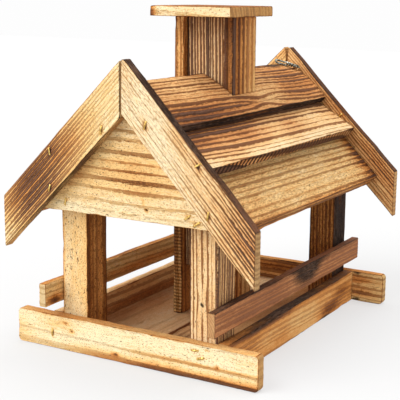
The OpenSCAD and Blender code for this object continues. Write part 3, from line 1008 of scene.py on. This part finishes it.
class Growth(NodeTree):
    """A Geometry Nodes tree with named inputs. It ends in Realize Instances and Set Material."""

    def __init__(self, name, inputs):
        super().__init__(bpy.data.node_groups.new(name, "GeometryNodeTree"))
        self.tree.interface.new_socket("Geometry", in_out="INPUT", socket_type="NodeSocketGeometry")
        self.keys = {
            label: self.tree.interface.new_socket(label, in_out="INPUT", socket_type=kind)
            for label, kind in inputs.items()
        }
        self.tree.interface.new_socket("Geometry", in_out="OUTPUT", socket_type="NodeSocketGeometry")
        outputs = self.tree.nodes.new("NodeGroupInput").outputs
        self.given = {label: Sock(self, outputs[label]) for label in ("Geometry", *inputs)}

    def finish(self, geometry, material):
        real = self.node("GeometryNodeRealizeInstances", {}, {"Geometry": geometry})
        coated = self.node("GeometryNodeSetMaterial", {}, {"Geometry": real, "Material": material})
        self.node("NodeGroupOutput", {}, {"Geometry": coated})

    def grow(self, holder, values):
        """Runs the tree on an object, and leaves what it makes as the object's own plain mesh."""
        modifier = holder.modifiers.new(self.tree.name, "NODES")
        modifier.node_group = self.tree
        for label, value in values.items():
            modifier[self.keys[label].identifier] = value
        bpy.context.view_layer.update()
        graph = bpy.context.evaluated_depsgraph_get()
        mesh = bpy.data.meshes.new_from_object(holder.evaluated_get(graph), depsgraph=graph)
        holder.modifiers.clear()
        holder.data = mesh
        mesh.shade_smooth()


def staple_form():
    """One staple: a flattened wire with a bent crown, its legs going into the wood along -z."""
    form = bpy.data.meshes.new("staple form")
    shape = bmesh.new()
    half = [(1.0, 0.42), (2.7, 0.3), (3.1, -0.1), (3.1, -1.0)]
    path = [(-x, z) for x, z in reversed(half)] + half
    half_wide, half_thin, corners = 0.75, 0.36, 8
    loops = []
    for k, (x, z) in enumerate(path):
        before, after = path[max(k - 1, 0)], path[min(k + 1, len(path) - 1)]
        angle = math.atan2(after[1] - before[1], after[0] - before[0])
        loop = []
        for turn in range(corners):
            a = 2 * math.pi * (turn + 0.5) / corners
            wide, thin = half_wide * math.cos(a), half_thin * math.sin(a)
            place = (x - thin * math.sin(angle), wide, z + thin * math.cos(angle))
            loop.append(shape.verts.new([c * MM for c in place]))
        loops.append(loop)
    for first, second in zip(loops, loops[1:]):
        for k in range(corners):
            shape.faces.new((first[k], first[k - 1], second[k - 1], second[k]))
    shape.faces.new(loops[0])
    shape.faces.new(list(reversed(loops[-1])))
    bmesh.ops.recalc_face_normals(shape, faces=shape.faces)
    shape.to_mesh(form)
    shape.free()
    return bpy.data.objects.new("staple form", form)


def make_staples():
    """Narrow staples of yellow metal, pressed into the boards and turned any way."""
    barge, gable, skirt, chimney, rear = (
        size_of(node)[0][1]
        for node in (
            "front_left_bargeboard", "front_gable_board", "front_skirt_board", "chimney_front_board",
            "rear_right_bargeboard",
        )
    )
    spots = [  # x, y, z and turn in degrees
        (21.3, barge, 188.5, 70), (65.3, barge, 163.8, 25), (73.9, barge, 128.5, 80),
        (-64.9, barge, 162.3, 100), (-17.1, barge, 182.4, 80), (-65.5, barge, 133.8, 75),
        (-57.5, gable, 122.7, 85), (52.0, gable, 123.4, 40), (59.5, gable, 119.0, 35),
        (62.0, skirt, 17.5, 20), (57.0, skirt, 23.0, 5), (-75.0, skirt, 13.0, 88),
        (17.5, chimney, 241.0, 84), (56.1, rear, 170.8, 40),
    ]
    points = bpy.data.meshes.new("staples")
    points.from_pydata([(x * MM, y * MM, z * MM) for x, y, z, _ in spots], [], [])
    turns = []
    for _, _, _, turn in spots:
        facing_out = Matrix.Rotation(math.radians(90), 3, "X")
        turned = Matrix.Rotation(-math.radians(turn), 3, "Y") @ facing_out
        turns.extend(turned.to_euler())
    points.attributes.new("aim", "FLOAT_VECTOR", "POINT").data.foreach_set("vector", turns)

    g = Growth(
        "staples", {"Form": "NodeSocketObject", "Smallest": "NodeSocketFloat", "Largest": "NodeSocketFloat"}
    )
    aim = g.node("GeometryNodeInputNamedAttribute", {"data_type": "FLOAT_VECTOR"}, {"Name": "aim"})
    form = g.node("GeometryNodeObjectInfo", {}, {"Object": g.given["Form"]}, "Geometry")
    limits = {2: g.given["Smallest"], 3: g.given["Largest"], "Seed": 4}
    sizes = g.node("FunctionNodeRandomValue", {}, limits, 1)
    placed = g.node(
        "GeometryNodeInstanceOnPoints", {},
        {"Points": g.given["Geometry"], "Instance": form, "Rotation": aim, "Scale": sizes},
    )
    g.finish(placed, BRASS)
    source = staple_form()
    holder = put("staples", points)
    g.grow(holder, {"Form": source, "Smallest": 0.9, "Largest": 1.08})
    bpy.data.objects.remove(source)
    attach(holder, "root")


def wire_growth():
    """Sweeps a round section along the edges of a mesh."""
    g = Growth("bent wire", {"Thickness": "NodeSocketFloat", "Sides": "NodeSocketInt"})
    path = g.node("GeometryNodeMeshToCurve", {}, {"Mesh": g.given["Geometry"]})
    radius = g.node("ShaderNodeMath", {"operation": "MULTIPLY"}, {0: g.given["Thickness"], 1: 0.5})
    round_form = {"Resolution": g.given["Sides"], "Radius": radius}
    section = g.node("GeometryNodeCurvePrimitiveCircle", {}, round_form)
    g.finish(g.node("GeometryNodeCurveToMesh", {}, {"Curve": path, "Profile Curve": section}), ZINC)
    return g


def wire_path(straight, bend, thick, lean):
    """The middle line of a wire loop: an eye at its upper end, and below it two strands twisted together.

    It runs along x for straight to both sides of 0. bend is half the width between the strands at the eye,
    and lean turns the eye about x.
    """
    close = thick * STRAND_CLOSE
    lift = bend * EYE_LIFT * math.sin(lean)
    path = []
    for way in (1, -1):
        for k in range(STRAND_STEPS):
            x = way * (2 * straight * (k + 0.5) / STRAND_STEPS - straight)
            share = (x + straight) / (2 * straight)
            grip = float(smooth(np.array(share), *GRIP))
            twist = (math.pi * HALF_TWISTS - lean) * max(0.0, (share - TWIST_FROM) / (1 - TWIST_FROM))
            angle = lean + twist + (0 if way > 0 else math.pi)
            radius = bend + (close - bend) * grip
            height = radius * math.sin(angle) + close * grip + lift * (1 - grip)
            path.append((x, radius * math.cos(angle), height))
        turn, rise, height = (close, 0.0, close) if way > 0 else (bend, lean, lift)
        for k in range(1, EYE_STEPS):
            a = math.pi * k / EYE_STEPS
            out = -turn * math.cos(a)
            path.append((
                way * (straight + turn * math.sin(a)), out * math.cos(rise), out * math.sin(rise) + height
            ))
    return np.array(path)


def make_wire(end, growth):
    """A closed loop of wire that lies as its node lies, with the eye at its upper end."""
    node = f"{end}_hanging_wire"
    points = np.unique(corners_of(node, 3), axis=0)
    middle = (points.min(0) + points.max(0)) / 2
    _, _, axes = np.linalg.svd(points - points.mean(0), full_matrices=False)
    along, _, out = axes
    if out[2] < 0:
        out = -out
    if along[2] > 0:
        along = -along
    across = np.cross(out, along)
    spread = (points - middle) @ axes.T
    thick = spread[:, 2].max() - spread[:, 2].min()
    bend = (spread[:, 1].max() - spread[:, 1].min()) / 2 - thick / 2
    straight = spread[:, 0].max() - bend - thick / 2
    path = wire_path(straight, bend, thick, math.radians(EYE_LEAN[end]))
    path = (middle + path @ np.array([along, across, out])) * MM
    count = len(path)
    mesh = bpy.data.meshes.new(f"{end}_wire_loop")
    mesh.from_pydata(path.tolist(), [(k, (k + 1) % count) for k in range(count)], [])
    piece = put(f"{end}_wire_loop", mesh)
    growth.grow(piece, {"Thickness": float(thick) * STRAND_THICK * MM, "Sides": STRAND_CORNERS})
    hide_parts(node)
    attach(piece, "root")


for make in (
    make_skirts, make_floor_boards, make_posts, make_rails, make_gables, make_bargeboards, make_roof,
    make_chimney,
):
    make(Board.build)
make_staples()
wire = wire_growth()
for end in ("front", "rear"):
    make_wire(end, wire)


# ---------------------------------------------------------------------------
# Floor, light and camera
# ---------------------------------------------------------------------------


def make_floor():
    mesh = bpy.data.meshes.new("floor")
    reach = 4.0
    corners = [(-reach, -reach, 0), (reach, -reach, 0), (reach, reach, 0), (-reach, reach, 0)]
    mesh.from_pydata(corners, [], [(0, 1, 2, 3)])
    m = Sheet("pale floor")
    inputs = {
        "Base Color": (0.24, 0.24, 0.24, 1.0),
        "Roughness": 0.9,
        "Specular IOR Level": 0.0,
        "Emission Color": (1.0, 1.0, 1.0, 1.0),
        "Emission Strength": 0.575,
    }
    mesh.materials.append(m.finish(inputs))
    piece = put("floor", mesh)


def make_light(name, place, spread, power):
    """A far soft light that shines from a place towards the middle of the object."""
    data = bpy.data.lights.new(name, "SUN")
    data.angle = math.radians(spread)
    data.energy = power
    lamp = put(name, data)
    lamp.location = place
    lamp.rotation_euler = (Vector((0, 0, 0.1)) - Vector(place)).to_track_quat("-Z", "Y").to_euler()


def make_camera():
    """A long lens from the front right, a little above the roof."""
    yaw, pitch, roll = 0.523, -0.200, 0.012
    place = Vector((0.4213, -0.7561, 0.2844))
    ahead = Vector((-math.sin(yaw) * math.cos(pitch), math.cos(yaw) * math.cos(pitch), math.sin(pitch)))
    right = ahead.cross(Vector((0, 0, 1))).normalized()
    up = right.cross(ahead)
    side = right * math.cos(roll) + up * math.sin(roll)
    rise = up * math.cos(roll) - right * math.sin(roll)
    data = bpy.data.cameras.new("camera")
    data.sensor_width = 36.0
    data.lens = 92.925
    data.shift_x, data.shift_y = -0.0015, -0.00475
    data.clip_end = 50.0
    camera = put("camera", data)
    basis = [[side[k], rise[k], -ahead[k], place[k]] for k in range(3)] + [[0, 0, 0, 1]]
    camera.matrix_world = Matrix(basis)
    bpy.context.scene.camera = camera


def make_world():
    """A white studio, a little brighter to the eye than the light it gives."""
    world = bpy.data.worlds.new("studio")
    world.use_nodes = True
    studio = NodeTree(world.node_tree)
    seen = studio.node("ShaderNodeLightPath", {}, {}, "Is Camera Ray")
    strength = studio.node("ShaderNodeMapRange", {}, {"Value": seen, "To Min": 0.82, "To Max": 0.985})
    sky = studio.tree.nodes["Background"]
    sky.inputs["Color"].default_value = (1.0, 1.0, 1.0, 1.0)
    studio.tree.links.new(strength.socket, sky.inputs["Strength"])
    scene = bpy.context.scene
    scene.world = world
    scene.view_settings.view_transform = "Standard"
    scene.view_settings.look = "None"


make_floor()
make_light("key", (-0.8, -1.2, 1.2), 50.0, 2.6)
make_light("top", (0.2, 0.3, 1.7), 40.0, 1.6)
make_camera()
make_world()
